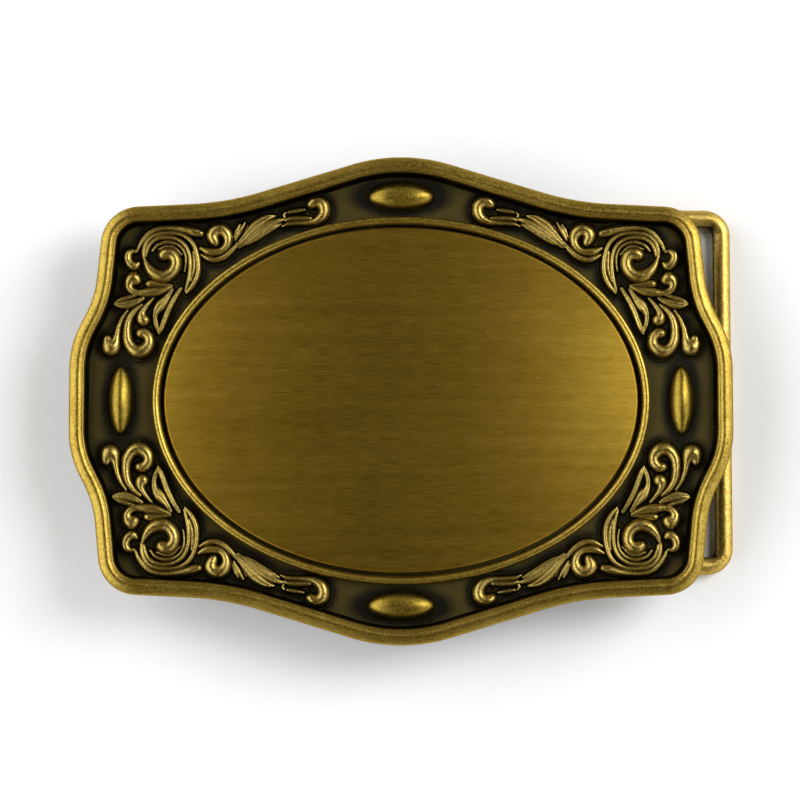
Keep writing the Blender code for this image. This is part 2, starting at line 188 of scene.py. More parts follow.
def smooth_line(points, spacing):
    """Points on a smooth curve through the given ones, a set distance apart."""
    points = np.array(points, float)
    ends = np.concatenate([[2 * points[0] - points[1]], points, [2 * points[-1] - points[-2]]])
    pieces = []
    for i in range(len(points) - 1):
        p, q, r, s = ends[i : i + 4]
        steps = max(2, math.ceil(np.linalg.norm((r - q)[:2]) / spacing))
        t = np.arange(steps)[:, None] / steps
        bend = 2 * p - 5 * q + 4 * r - s
        twist = -p + 3 * q - 3 * r + s
        pieces.append(q + t * ((r - p) + t * (bend + t * twist)) / 2)
    return np.concatenate([*pieces, points[-1:]])


def smoothstep(low, high, value):
    t = np.clip((value - low) / (high - low), 0, 1)
    return t * t * (3 - 2 * t)


# ---------------------------------------------------------------- meshes


def grid_faces(rows, columns, wrap_rows, wrap_columns):
    """Quads between neighbours of a rows x columns grid of points."""
    i = np.arange(rows if wrap_rows else rows - 1)
    j = np.arange(columns if wrap_columns else columns - 1)
    i, j = np.meshgrid(i, j, indexing="ij")
    i, j = i.ravel(), j.ravel()
    i_next, j_next = (i + 1) % rows, (j + 1) % columns
    corners = (i * columns + j, i_next * columns + j, i_next * columns + j_next, i * columns + j_next)
    return np.stack(corners, 1)


def end_caps(rows, columns):
    """The first and the last ring of a grid of points, as two faces."""
    first = np.arange(columns)
    return [first, first + (rows - 1) * columns]


def mesh_of(name, points, quads, wear_and_shade, caps=()):
    """A mesh from points in millimetres, quads, cap loops and a value for each point: wear, and on the
    bail's wire also painted shade.
    """
    mesh = bpy.data.meshes.new(name)
    faces = quads.tolist() + [list(map(int, cap)) for cap in caps]
    mesh.from_pydata((np.asarray(points) * MM).tolist(), [], faces)
    layer = mesh.attributes.new("wear_and_shade", "FLOAT", "POINT")
    layer.data.foreach_set("value", np.asarray(wear_and_shade, np.float32).ravel())
    turn_out(mesh)
    return mesh


def turn_out(mesh):
    """Turns a closed mesh's faces outwards and shades it smooth."""
    work = bmesh.new()
    work.from_mesh(mesh)
    bmesh.ops.recalc_face_normals(work, faces=work.faces)
    work.to_mesh(mesh)
    work.free()
    mesh.shade_smooth()


def place(mesh, material, slot, body, *nodes):
    """Puts a mesh in the scene as the piece that stands for these CAD nodes."""
    piece = bpy.data.objects.new(mesh.name, mesh)
    bpy.context.scene.collection.objects.link(piece)
    mesh.materials.clear()
    mesh.materials.append(material)
    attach(piece, body)
    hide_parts(*nodes)


def swept_band(name, path, section, wear_at):
    """A closed ring: a section given by distance in and height, carried along a path."""
    section = smooth_line(section, SECTION_STEP)
    normals = inward_normals(path)
    across, height = section[:, 0], section[:, 1]
    points = np.empty((len(path), len(section), 3))
    points[:, :, :2] = path[:, None] + normals[:, None] * across[None, :, None]
    points[:, :, 2] = SEAT_Z + np.maximum(height, 0)
    wear_and_shade = np.tile(wear_at(across, height), len(path))
    quads = grid_faces(len(path), len(section), True, True)
    return mesh_of(name, points.reshape(-1, 3), quads, wear_and_shade)


# ---------------------------------------------------------------- relief strokes, mm

# Each stroke of the upper right corner: its crest's height, the kind of its section, and its
# points, each with x, y and width. The other corners are its mirror images.
TUBE, LEAF = "tube", "leaf"
VOLUTE = (
    (1.35, TUBE, (  # the spiral, from the ball in its eye
        (32.4, 19.8, 1.25), (31.95, 20.05, 1.45), (31.3, 19.95, 1.4), (30.8, 19.35, 1.34),
        (30.7, 18.5, 1.32), (31.1, 17.6, 1.36), (31.9, 17.02, 1.42), (32.8, 16.95, 1.42),
        (33.7, 17.35, 1.25), (34.35, 18.0, 0.95), (34.75, 18.7, 0.6), (34.97, 19.35, 0.3),
    )),
    (1.05, TUBE, (  # outermost strand
        (27.35, 22.8, 0.85), (28.2, 23.05, 1.05), (29.2, 23.32, 0.95), (30.4, 23.52, 0.75),
        (32.0, 23.62, 0.6), (33.2, 23.45, 0.6), (34.2, 23.0, 0.58), (35.0, 22.2, 0.54),
        (35.55, 21.35, 0.48), (35.9, 20.5, 0.3),
    )),
    (0.95, TUBE, (
        (35.1, 19.5, 0.35), (35.08, 20.5, 0.42), (34.75, 21.5, 0.44), (34.0, 22.35, 0.44),
        (32.9, 22.78, 0.44), (31.6, 22.88, 0.44), (30.3, 22.75, 0.46), (29.2, 22.25, 0.5),
        (28.35, 21.35, 0.54), (27.85, 20.1, 0.58), (27.62, 18.6, 0.6), (27.68, 17.3, 0.64),
        (28.05, 16.2, 0.66), (28.6, 15.3, 0.55), (29.2, 14.6, 0.25),
    )),
    (0.85, TUBE, (
        (34.75, 19.7, 0.25), (34.58, 20.5, 0.36), (34.15, 21.4, 0.4), (33.2, 22.1, 0.44),
        (31.9, 22.3, 0.44), (30.6, 22.05, 0.44), (29.5, 21.25, 0.46), (28.88, 20.0, 0.48),
        (28.72, 18.5, 0.48), (28.85, 17.0, 0.46), (29.1, 15.8, 0.4), (29.35, 14.9, 0.2),
    )),
    (0.7, TUBE, ((28.32, 20.3, 0.2), (28.2, 19.0, 0.3), (28.25, 17.7, 0.3), (28.7, 16.2, 0.2))),
    (0.7, TUBE, (
        (33.9, 20.4, 0.24), (33.2, 21.2, 0.34), (31.9, 21.62, 0.38), (30.7, 21.4, 0.36),
        (29.85, 20.75, 0.32), (29.4, 19.8, 0.28), (29.33, 18.6, 0.22), (29.5, 17.6, 0.16),
    )),
    (0.55, TUBE, ((33.0, 20.65, 0.16), (31.95, 21.05, 0.2), (30.9, 20.9, 0.2), (29.9, 19.9, 0.16))),
)
LEAF_SPRAY = (
    (1.3, TUBE, (  # comma curl
        (25.2, 21.4, 0.65), (25.45, 21.8, 1.1), (25.7, 22.5, 1.4), (25.35, 23.15, 1.5),
        (24.6, 23.4, 1.5), (23.88, 22.9, 1.3), (23.58, 22.1, 1.05), (23.75, 21.2, 0.9),
        (24.4, 20.5, 0.75), (25.3, 20.25, 0.78), (26.3, 20.3, 0.8), (27.3, 20.75, 0.4),
    )),
    (0.9, TUBE, (
        (27.2, 19.85, 0.3), (26.2, 19.35, 0.6), (25.2, 19.2, 0.62), (24.0, 19.62, 0.7),
        (23.0, 20.5, 0.6), (22.3, 21.4, 0.35),
    )),
    (1.15, LEAF, (
        (22.5, 20.95, 0.35), (21.4, 22.1, 0.75), (20.5, 23.15, 1.05), (19.6, 24.1, 1.2),
        (18.6, 24.8, 0.95), (17.9, 25.05, 0.6), (17.2, 25.2, 0.2),
    )),
    (1.05, LEAF, (
        (22.0, 20.9, 0.3), (20.6, 21.95, 0.6), (19.3, 23.0, 0.8), (18.1, 23.9, 0.8),
        (16.9, 24.5, 0.6), (16.0, 24.72, 0.2),
    )),
    (0.85, LEAF, (
        (21.0, 21.3, 0.25), (19.8, 22.0, 0.5), (18.6, 22.8, 0.58), (17.5, 23.5, 0.5),
        (16.5, 24.05, 0.2),
    )),
    (0.75, TUBE, ((22.6, 21.9, 0.25), (21.9, 23.2, 0.48), (21.3, 24.3, 0.24))),
    (0.65, TUBE, ((22.75, 22.3, 0.2), (22.35, 23.3, 0.36), (22.0, 24.05, 0.18))),
    (0.6, TUBE, ((21.7, 22.3, 0.16), (21.2, 23.2, 0.22), (20.9, 23.9, 0.14))),
    (1.3, TUBE, (  # C hook, ball first
        (12.2, 26.9, 1.1), (11.85, 27.15, 1.3), (11.2, 27.15, 1.35), (10.62, 26.7, 1.35),
        (10.48, 25.9, 1.3), (10.78, 25.1, 1.25), (11.5, 24.55, 1.0), (12.5, 24.27, 0.65),
        (14.0, 24.2, 0.5), (15.3, 24.1, 0.45), (16.2, 23.75, 0.2),
    )),
    (0.75, TUBE, ((12.35, 24.9, 0.36), (13.8, 24.9, 0.5), (15.2, 24.82, 0.45), (15.7, 24.6, 0.3))),
    (0.75, TUBE, ((13.2, 26.08, 0.3), (14.3, 25.93, 0.46), (15.3, 25.75, 0.34))),
    (0.55, TUBE, ((15.75, 25.7, 0.16), (16.0, 25.35, 0.24), (15.85, 24.95, 0.16))),
)
CURL_SPRAY = (
    (1.05, TUBE, (  # ring curl
        (36.1, 20.3, 0.35), (36.7, 20.35, 0.6), (37.2, 19.95, 0.9), (37.25, 19.2, 1.0),
        (36.85, 18.55, 1.05), (36.25, 18.35, 0.95), (35.8, 18.65, 0.5),
    )),
    (1.2, TUBE, (  # comma curl, ball first, and its long tail
        (36.1, 16.45, 1.2), (36.5, 16.68, 1.42), (36.95, 16.3, 1.28), (37.08, 15.6, 1.0),
        (36.7, 15.0, 0.8), (35.8, 14.65, 0.68), (34.6, 14.7, 0.95), (33.2, 14.85, 0.95),
        (32.1, 15.15, 0.6), (31.2, 15.55, 0.25),
    )),
    (0.85, TUBE, (
        (31.2, 15.72, 0.2), (32.2, 15.76, 0.36), (33.2, 15.84, 0.6), (34.1, 15.9, 0.78),
        (34.4, 15.88, 0.68),
    )),
    (1.05, LEAF, (  # pointed leaf, its left and right lobes
        (30.0, 15.2, 0.35), (30.85, 13.8, 0.55), (31.6, 12.3, 0.65), (32.1, 11.0, 0.65),
        (32.5, 9.9, 0.6), (32.9, 9.05, 0.25),
    )),
    (1.0, LEAF, (
        (31.15, 15.1, 0.3), (31.7, 14.2, 0.6), (32.3, 13.4, 1.0), (32.8, 12.8, 1.15),
        (33.25, 12.15, 0.75), (33.45, 11.3, 0.5), (33.3, 10.3, 0.5), (32.98, 9.4, 0.35),
    )),
    (1.35, TUBE, (  # the large C scroll
        (35.3, 12.95, 0.3), (36.2, 12.2, 0.6), (36.9, 11.2, 0.8), (37.2, 10.1, 0.92),
        (37.25, 9.0, 1.0), (37.1, 8.0, 1.15), (36.6, 7.1, 1.3), (35.8, 6.62, 1.45),
        (34.9, 6.82, 1.5), (34.25, 7.6, 1.3), (34.3, 8.5, 1.2), (34.85, 9.08, 1.15),
        (35.4, 9.1, 1.05),
    )),
    (1.3, TUBE, (  # the club beside it
        (37.2, 12.2, 0.25), (37.9, 11.2, 0.45), (38.4, 10.0, 0.6), (38.62, 9.0, 0.75),
        (38.8, 8.1, 1.05), (39.15, 7.4, 1.65), (39.55, 7.25, 1.9), (39.9, 7.8, 1.35),
        (39.98, 8.35, 0.95),
    )),
    (0.95, LEAF, (
        (35.1, 13.9, 0.3), (36.1, 13.4, 0.75), (37.2, 13.05, 0.95), (38.2, 12.98, 0.75),
        (39.0, 13.12, 0.3),
    )),
    (0.8, TUBE, ((36.0, 14.3, 0.2), (37.0, 14.05, 0.42), (38.0, 13.78, 0.5), (38.9, 13.35, 0.3))),
    (1.15, TUBE, (
        (33.7, 13.9, 0.2), (34.5, 13.0, 0.45), (35.05, 12.2, 0.65), (35.3, 11.6, 0.95),
        (35.2, 11.05, 1.3), (34.95, 10.9, 1.25),
    )),
)
ORNAMENTS = {  # the strokes, and the thickness of the web that carries them
    "volute": (VOLUTE, 0.12),
    "leaf_spray": (LEAF_SPRAY, 0.15),
    "curl_spray": (CURL_SPRAY, 0.18),
}
QUARTERS = {
    "upper_right": (1, 1),
    "upper_left": (-1, 1),
    "lower_left": (-1, -1),
    "lower_right": (1, -1),
}
RELIEF_STEP = 0.085  # spacing of a relief's points
WEB_MARGIN = 0.36  # how far the thin web shows round the strokes
WALL_SLOPE, WEB_SLOPE = 4.0, 2.5  # fall per millimetre beside a stroke, and past the web
STROKE_REACH = 0.7  # how far past its own edge a stroke is worked out
RELIEF_MARGIN = 1.3  # ground kept round an ornament's points
LIP_INSET, LIP_HEIGHT = 0.06, 0.05  # the low lip along the web's edge
SOFTENING, HOLLOW_REACH = 0.04, 0.13  # blurs for the shape, and for telling crests from hollows
FOOT_SHARE, FOOT_EXTRA = 1.24, 0.17  # a stroke's foot against the width given for it


def nearest_on(line, x, y):
    """For each point: its distance to a stroke's middle line, and the stroke's width there."""
    distance = np.full(x.shape, np.inf)
    width = np.zeros(x.shape)
    best = np.full(x.shape, np.inf)
    for px, py, w in line:
        d = np.hypot(x - px, y - py)
        closer = d - w / 2 < best
        best = np.where(closer, d - w / 2, best)
        distance = np.where(closer, d, distance)
        width = np.where(closer, w, width)
    return distance, width


def section_height(kind, across):
    """Height of a stroke's section, as a share, at a share of its half width."""
    body = (1 - across**2) ** 0.65
    if kind == LEAF:
        body = (1 - across**2) ** 0.6 - 0.3 * np.exp(-((across / 0.2) ** 2))
    return body


def relief(strokes, web, x, y):
    """Height over the ground of a group of strokes on their web, and distance to the strokes."""
    height = np.full(x.shape, -1.0)
    edge = np.full(x.shape, 9.0)
    for crest, kind, points in strokes:
        line = smooth_line(points, SECTION_STEP) * (1, 1, FOOT_SHARE) + (0, 0, FOOT_EXTRA)
        widest = line[:, 2].max()
        reach = widest / 2 + STROKE_REACH
        low, high = line[:, :2].min(0) - reach, line[:, :2].max(0) + reach
        near = (x > low[0]) & (x < high[0]) & (y > low[1]) & (y < high[1])
        distance, width = nearest_on(line, x[near], y[near])
        across = distance / (width / 2)
        outside = distance - width / 2
        local_crest = crest * (0.5 + 0.5 * width / widest)
        inside = web + (local_crest - web) * section_height(kind, np.minimum(across, 1))
        stroke = np.where(outside < 0, inside, web - WALL_SLOPE * outside)
        height[near] = np.maximum(height[near], stroke)
        edge[near] = np.minimum(edge[near], outside)
    lip = LIP_HEIGHT * np.exp(-(((edge - WEB_MARGIN + LIP_INSET) / 0.05) ** 2))
    thin = web + lip - np.maximum(edge - WEB_MARGIN, 0) * WEB_SLOPE
    return np.maximum(height, thin), edge


def blurred(field, sigma):
    """Gaussian blur of a 2D array, sigma in cells."""
    reach = max(1, math.ceil(3 * sigma))
    taps = np.exp(-0.5 * (np.arange(-reach, reach + 1) / sigma) ** 2)
    taps /= taps.sum()
    for axis in (0, 1):
        pads = [(reach, reach) if k == axis else (0, 0) for k in (0, 1)]
        padded = np.pad(field, pads, mode="edge")
        count = field.shape[axis]
        field = sum(
            tap * np.take(padded, range(k, k + count), axis=axis) for k, tap in enumerate(taps)
        )
    return field


def ornament_mesh(name, strokes, web):
    """The closed mesh of one ornament of the upper right corner."""
    every = np.concatenate([np.array(points) for _, _, points in strokes])
    low = every[:, :2].min(0) - RELIEF_MARGIN
    high = every[:, :2].max(0) + RELIEF_MARGIN
    xs = np.arange(low[0], high[0], RELIEF_STEP)
    ys = np.arange(low[1], high[1], RELIEF_STEP)
    x, y = np.meshgrid(xs, ys, indexing="ij")
    height, edge = relief(strokes, web, x, y)
    height = blurred(height, SOFTENING / RELIEF_STEP)
    proud = smoothstep(-0.1, 0.02, height - blurred(height, HOLLOW_REACH / RELIEF_STEP))
    wear_and_shade = smoothstep(0.03, 0.17, -edge) * (0.3 + 0.7 * proud)
    lip = np.exp(-(((edge - WEB_MARGIN + LIP_INSET) / 0.06) ** 2))
    wear_and_shade = np.maximum(wear_and_shade, 0.3 * lip)
    points = np.stack([x, y, height + SEAT_Z], -1).reshape(-1, 3)
    mesh = mesh_of(name, points, grid_faces(len(xs), len(ys), False, False), wear_and_shade)
    work = bmesh.new()
    work.from_mesh(mesh)
    everything = work.verts[:] + work.edges[:] + work.faces[:]
    floor = Vector((0, 0, SEAT_Z * MM))
    bmesh.ops.bisect_plane(
        work, geom=everything, dist=1e-8, plane_co=floor, plane_no=(0, 0, 1), clear_inner=True
    )
    rim = [edge for edge in work.edges if edge.is_boundary]
    bmesh.ops.triangle_fill(work, edges=rim, use_beauty=False)
    bmesh.ops.recalc_face_normals(work, faces=work.faces)
    work.to_mesh(mesh)
    work.free()
    return mesh


def mirrored(mesh, name, quarter):
    """A copy of an upper right mesh in another corner, still facing out."""
    copy = mesh.copy()
    copy.name = name
    points = np.empty(len(copy.vertices) * 3)
    copy.vertices.foreach_get("co", points)
    points = points.reshape(-1, 3) * (*quarter, 1)
    copy.vertices.foreach_set("co", points.ravel())
    if quarter[0] * quarter[1] < 0:
        copy.flip_normals()
    copy.shade_smooth()
    return copy


# ---------------------------------------------------------------- materials


class Nodes:
    """A short way to add and link the nodes of one material."""

    def __init__(self, name):
        self.material = bpy.data.materials.new(name)
        self.material.use_nodes = True
        self.tree = self.material.node_tree
        self.shader = self.tree.nodes["Principled BSDF"]

    def add(self, kind, inputs=(), **settings):
        node = self.tree.nodes.new(kind)
        for key, value in settings.items():
            setattr(node, key, value)
        for key, value in dict(inputs).items():
            self.join(value, node.inputs[key])
        return node

    def join(self, value, socket):
        if isinstance(value, bpy.types.NodeSocket):
            self.tree.links.new(value, socket)
        else:
            socket.default_value = value

    def coordinates(self, scale):
        """Object space scaled along each axis: where a pattern is looked up."""
        where = self.add("ShaderNodeTexCoord").outputs["Object"]
        inputs = {"Vector": where, "Scale": scale}
        return self.add("ShaderNodeMapping", inputs).outputs["Vector"]

    def noise(self, scale, detail=4.0, roughness=0.55, stretch=(1, 1, 1)):
        inputs = {
            "Vector": self.coordinates([s / MM for s in stretch]),
            "Scale": scale,
            "Detail": detail,
            "Roughness": roughness,
        }
        return self.add("ShaderNodeTexNoise", inputs).outputs["Fac"]

    def maths(self, operation, a, b=0.0, c=0.0, clamp=False):
        inputs = {0: a, 1: b, 2: c}
        return self.add("ShaderNodeMath", inputs, operation=operation, use_clamp=clamp).outputs[0]

    def vary(self, value, pattern, amount):
        """The value, moved up and down by a pattern that lies about one half."""
        return self.maths("MULTIPLY_ADD", self.maths("SUBTRACT", pattern, 0.5), amount, value)

    def surface(self, **inputs):
        """Sets or links the shader's sockets, named with _ for each space."""
        for key, value in inputs.items():
            self.join(value, self.shader.inputs[key.replace("_", " ")])

    def spread(self, value, low, high, to_low=0.0, to_high=1.0):
        inputs = {"Value": value, "From Min": low, "From Max": high, "To Min": to_low, "To Max": to_high}
        return self.add("ShaderNodeMapRange", inputs).outputs["Result"]

    def mix(self, share, a, b):
        node = self.add("ShaderNodeMix", data_type="RGBA")
        self.join(share, node.inputs["Factor"])
        self.join(a if isinstance(a, bpy.types.NodeSocket) else (*a, 1), node.inputs["A"])
        self.join(b if isinstance(b, bpy.types.NodeSocket) else (*b, 1), node.inputs["B"])
        return node.outputs["Result"]

    def bump(self, height, distance, strength=1.0, normal=None):
        inputs = {"Height": height, "Distance": distance * MM, "Strength": strength}
        if normal is not None:
            inputs["Normal"] = normal
        return self.add("ShaderNodeBump", inputs).outputs["Normal"]

    def wear_and_shade(self):
        return self.add("ShaderNodeAttribute", attribute_name="wear_and_shade").outputs["Fac"]


BLACK_PATINA = (0.004, 0.0035, 0.0015)
OLIVE_PATINA = (0.075, 0.055, 0.012)
TARNISH = (0.6, 0.54, 0.38)  # what is left of each colour where the brass is tarnished


def antique_brass(name, brass, shine=0.3, grain=0.02, blotch=0.25, lacquer=0.3):
    """Brass, blackened in the hollows and rubbed bright where a point's value is 1; the low values on
    the bail's wire are painted shade.
    """
    nodes = Nodes(name)
    clouds = nodes.noise(0.35, 5)
    specks = nodes.noise(3.6, 3, 0.7)
    uneven = nodes.vary(nodes.wear_and_shade(), clouds, blotch * 2)
    uneven = nodes.vary(uneven, specks, 0.35)
    dark_to_olive = nodes.mix(nodes.spread(uneven, 0.02, 0.45), BLACK_PATINA, OLIVE_PATINA)
    darker_brass = tuple(c * f for c, f in zip(brass, TARNISH))
    tarnish = nodes.maths("MULTIPLY_ADD", specks, 0.8, nodes.maths("MULTIPLY", clouds, 0.2))
    brass_tone = nodes.mix(nodes.spread(tarnish, 0.42, 0.56), darker_brass, brass)
    colour = nodes.mix(nodes.spread(uneven, 0.3, 0.85), dark_to_olive, brass_tone)
    dull = nodes.spread(uneven, 0.1, 0.9, 0.75, shine)
    fine = nodes.bump(nodes.noise(4.0, 4, 0.7), grain)
    nodes.surface(
        Base_Color=colour,
        Metallic=1.0,
        Specular_Tint=(0.6, 0.5, 0.3, 1),
        Coat_Weight=lacquer,
        Coat_Roughness=0.32,
        Roughness=nodes.vary(dull, specks, 0.22),
        Normal=nodes.bump(nodes.noise(1.1, 3), grain * 1.6, normal=fine),
    )
    return nodes.material


def ground_patina():
    """The sunken ground: near black olive, cloudy, with a fine sandy grain."""
    nodes = Nodes("ground_patina")
    clouds = nodes.noise(0.22, 6)
    specks = nodes.noise(5.0, 3, 0.8)
    sand = nodes.noise(2.3, 2, 0.9)
    shade = nodes.vary(nodes.wear_and_shade(), clouds, 0.7)
    shade = nodes.vary(shade, specks, 0.5)
    colour = nodes.mix(nodes.spread(shade, 0.1, 0.9), (0.005, 0.004, 0.001), (0.066, 0.05, 0.01))
    fine = nodes.bump(nodes.noise(4.5, 4, 0.75), 0.04)
    nodes.surface(
        Base_Color=nodes.mix(nodes.spread(sand, 0.68, 0.8), colour, (0.15, 0.12, 0.04)),
        Metallic=0.85,
        Coat_Weight=0.25,
        Coat_Roughness=0.3,
        Roughness=nodes.spread(specks, 0.3, 0.7, 0.42, 0.62),
        Normal=nodes.bump(nodes.noise(0.9, 3), 0.05, normal=fine),
    )
    return nodes.material


def stray_scratches(nodes):
    """How much of a thin, broken, wandering scratch shows at each place."""
    wander = nodes.noise(0.45, 3, 0.6, (1, 2.2, 1))
    off_line = nodes.maths("ABSOLUTE", nodes.maths("SUBTRACT", wander, 0.5))
    hairlines = nodes.spread(off_line, 0.0, 0.006, 1.0, 0.0)
    breaks = nodes.spread(nodes.noise(0.7, 2), 0.52, 0.62, 0.0, 0.3)
    return nodes.maths("MULTIPLY", hairlines, breaks)


def brushed_brass():
    """The centre plate: drawn lines along its length, fine specks and a few stray scratches."""
    nodes = Nodes("brushed_brass")
    lines = nodes.noise(1.0, 6, 0.85, (0.34, 9.0, 1))
    broad = nodes.noise(1.0, 3, 0.5, (0.03, 0.7, 1))
    clouds = nodes.noise(0.06, 3)
    specks = nodes.noise(3.2, 2, 0.8)
    dark, bright = (0.29, 0.168, 0.003), (0.74, 0.49, 0.07)
    tone = nodes.maths("MULTIPLY_ADD", lines, 0.7, nodes.maths("MULTIPLY", broad, 0.2))
    tone = nodes.vary(tone, clouds, 0.15)
    colour = nodes.mix(nodes.spread(tone, 0.28, 0.66), dark, bright)
    colour = nodes.mix(nodes.spread(specks, 0.66, 0.74, 0, 0.8), colour, (0.8, 0.62, 0.25))
    colour = nodes.mix(stray_scratches(nodes), colour, (0.9, 0.68, 0.25))
    across = nodes.add("ShaderNodeCombineXYZ", {"Y": 1.0}).outputs["Vector"]
    drawn = nodes.bump(lines, 0.006)
    nodes.surface(
        Base_Color=nodes.mix(nodes.spread(nodes.wear_and_shade(), 0.0, 1.0), OLIVE_PATINA, colour),
        Metallic=1.0,
        Roughness=nodes.spread(lines, 0.3, 0.7, 0.34, 0.46),
        Anisotropic=0.65,
        Coat_Weight=0.06,
        Coat_Roughness=0.42,
        Tangent=across,
        Normal=nodes.bump(specks, 0.006, normal=drawn),
    )
    return nodes.material


# ---------------------------------------------------------------- the plate's pieces


FRONT_RINGS = 46  # rings of points over the plate's front
FRONT_MARGIN = 2.2  # how far in from the plate's edge they stop
UNDER_BEZEL = 0.96  # they start at this share of the bezel's outside
FRONT_EDGE = ((0.2, 0.0), (0.0, -0.15))  # distance in, height over the plate's front
BACK_EDGE = ((0.0, 0.45), (0.08, 0.2), (0.25, 0.05), (0.5, 0.0), (3.0, 0.0))  # over its back
PLATE_EDGE_WEAR = 0.8
DARK_WITHIN, PALE_BEYOND = 0.4, 1.9  # distance from the nearest raised piece
GROUND_STEP = 0.3  # spacing along a stroke when that distance is worked out


def ground_wear(x, y):
    """How light the ground is: dark beside every raised piece, paler in the open."""
    x, y = np.abs(x), np.abs(y)
    clear = np.full(x.shape, 9.0)
    for strokes, _ in ORNAMENTS.values():
        for _, _, points in strokes:
            distance, width = nearest_on(smooth_line(points, GROUND_STEP), x, y)
            clear = np.minimum(clear, distance - width / 2)
    for node in ("boss_top", "boss_right"):
        low, high = box_mm(node)
        centre, half = (low + high) / 2, (high - low) / 2
        out = np.hypot((x - centre[0]) / half[0], (y - centre[1]) / half[1]) - 1
        clear = np.minimum(clear, out * min(half[:2]) + 0.1)
    return smoothstep(DARK_WITHIN, PALE_BEYOND, clear)


def base_plate(path, material):
    """The backing plate, as rings of points from under the bezel out to its rounded edge."""
    low, high = box_mm("base_plate")
    bezel = box_mm("oval_bezel")[1][:2]
    normals = inward_normals(path)
    edge = path + normals * PLATE_INSET
    turn = np.arctan2(edge[:, 1], edge[:, 0])
    inner_reach = UNDER_BEZEL / np.hypot(np.cos(turn) / bezel[0], np.sin(turn) / bezel[1])
    inner = np.stack([np.cos(turn), np.sin(turn)], 1) * inner_reach[:, None]
    wall = edge + normals * FRONT_MARGIN
    rings = [inner + (wall - inner) * share for share in np.linspace(0, 1, FRONT_RINGS)]
    heights = [high[2]] * FRONT_RINGS
    turned_over = [(inset, high[2] + z) for inset, z in FRONT_EDGE]
    turned_over += [(inset, low[2] + z) for inset, z in BACK_EDGE]
    for inset, z in turned_over:
        rings.append(edge + normals * inset)
        heights.append(z)
    flat = np.stack(rings)
    z = np.broadcast_to(np.array(heights)[:, None, None], (*flat.shape[:2], 1))
    points = np.concatenate([flat, z], -1)
    wear_and_shade = ground_wear(flat[..., 0], flat[..., 1])
    wear_and_shade[FRONT_RINGS:] = PLATE_EDGE_WEAR
    quads = grid_faces(len(rings), len(path), False, True)
    caps = end_caps(len(rings), len(path))
    mesh = mesh_of("base_plate_body", points.reshape(-1, 3), quads, wear_and_shade, caps)
    mesh.set_sharp_from_angle(angle=math.radians(50))
    place(mesh, material, "ground_patina", PLATE, "base_plate")


def rim_wear(across, height):
    """Rubbed on the crest, dark at both feet and in the groove beside the inner bead."""
    crest = smoothstep(0.0, 0.7, height) * (1 - smoothstep(2.08, 2.22, across))
    return crest - 0.4 * np.exp(-(((across - RIM_GROOVE) / 0.07) ** 2))


def bezel_wear(across, height):
    """Rubbed on the crest, darker down its inner side."""
    return smoothstep(0.35, 1.2, height) * (1 - 0.5 * smoothstep(0.85, 1.2, across))


def rim_and_bezel(path, rim_brass, bezel_brass):
    """The wavy rim on the outline and the oval ring round the centre plate."""
    mesh = swept_band("rim_moulding_body", path, RIM_SECTION, rim_wear)
    place(mesh, rim_brass, "rim_brass", PLATE, "rim_moulding")
    outer = box_mm("oval_bezel")[1][:2]
    mesh = swept_band("oval_bezel_body", ellipse(outer), BEZEL_SECTION, bezel_wear)
    place(mesh, bezel_brass, "bezel_brass", PLATE, "oval_bezel")


def centre_plate(material):
    """The oval plate, with a narrow chamfer round its face."""
    high = box_mm("centre_plate")[1]
    path = ellipse(high[:2])
    section = np.array(CENTRE_EDGE)
    normals = inward_normals(path)
    points = np.empty((len(section), len(path), 3))
    points[:, :, :2] = path[None] + normals[None] * section[:, 0, None, None]
    thickness = high[2] - SEAT_Z
    points[:, :, 2] = SEAT_Z + thickness * section[:, 1, None]
    wear_and_shade = np.repeat(CENTRE_WEAR, len(path))
    quads = grid_faces(len(section), len(path), False, True)
    caps = end_caps(len(section), len(path))
    mesh = mesh_of("centre_plate_body", points.reshape(-1, 3), quads, wear_and_shade, caps)
    mesh.set_sharp_from_angle(angle=math.radians(25))
    place(mesh, material, "brushed_brass", PLATE, "centre_plate")


BOSS_SIDES, BOSS_RINGS = 96, 26
BOSS_ROUNDNESS = 0.65  # lower makes the dome's shoulders fuller
BOSS_FOOT_HEIGHT = 0.14
BOSS_FOOT = ((0.3, 1.0), (0.36, 1.3), (0.42, 0.8), (0.44, 0.0))  # reach past the dome, share
BOSS_LIP_WEAR = 0.2


